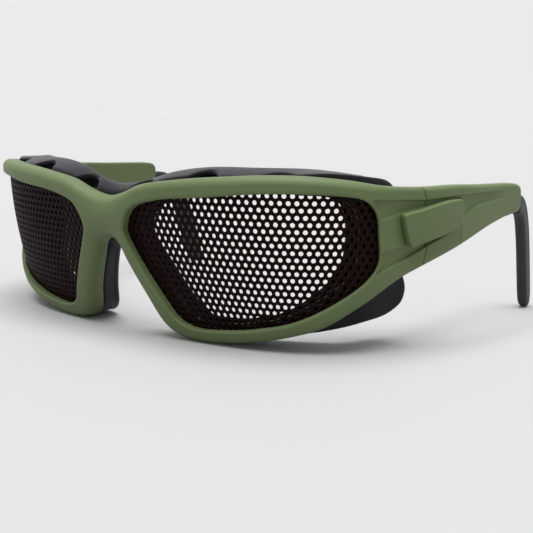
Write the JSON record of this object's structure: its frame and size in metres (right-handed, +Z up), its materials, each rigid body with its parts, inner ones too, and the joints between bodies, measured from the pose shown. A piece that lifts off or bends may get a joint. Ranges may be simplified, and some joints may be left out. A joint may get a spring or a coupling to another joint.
{
  "type": "mesh safety goggles",
  "caption": "wraparound safety goggles with perforated steel mesh lenses in a moulded frame, a rubber face gasket and folding temples with hooked tips",
  "frame": {"origin": "bottom centre of the overall box, on the floor the goggles stand on with both temples open, midway between the two sides and midway from the lens front to the rear of the tips", "axes": "+X towards the wearer's left, +Y from the lenses back along the temples, +Z up"},
  "size_m": [0.1578, 0.1146, 0.0469],
  "materials": {
    "frame_plastic": "matt moulded olive green",
    "temple_plastic": "matt moulded olive green",
    "cover_plastic": "matt moulded olive green",
    "lens_mesh": "perforated sheet, dark brown satin coating",
    "gasket_rubber": "black satin moulded rubber",
    "tip_rubber": "dark grey soft rubber",
    "screw_steel": "plain steel"
  },
  "bodies": {
    "frame": {"front_frame": "frame_plastic", "mesh_lens_left": "lens_mesh", "mesh_lens_right": "lens_mesh", "gasket": "gasket_rubber", "hinge_screw_left": "screw_steel", "hinge_screw_right": "screw_steel"},
    "temple_left": {"temple_base_left": "temple_plastic", "temple_arm_left": "temple_plastic", "temple_tip_left": "tip_rubber", "hinge_cover_left": "cover_plastic"},
    "temple_right": {"temple_base_right": "temple_plastic", "temple_arm_right": "temple_plastic", "temple_tip_right": "tip_rubber", "hinge_cover_right": "cover_plastic"}
  },
  "joints": [
    {"name": "temple_left_fold", "type": "hinge", "parent": "frame", "child": "temple_left", "pos_m": [0.0685, -0.00927, 0.0322], "axis": [0, 0, 1], "range_deg": [0, 90]},
    {"name": "temple_right_fold", "type": "hinge", "parent": "frame", "child": "temple_right", "pos_m": [-0.0685, -0.00927, 0.0322], "axis": [0, 0, -1], "range_deg": [0, 90]}
  ]
}
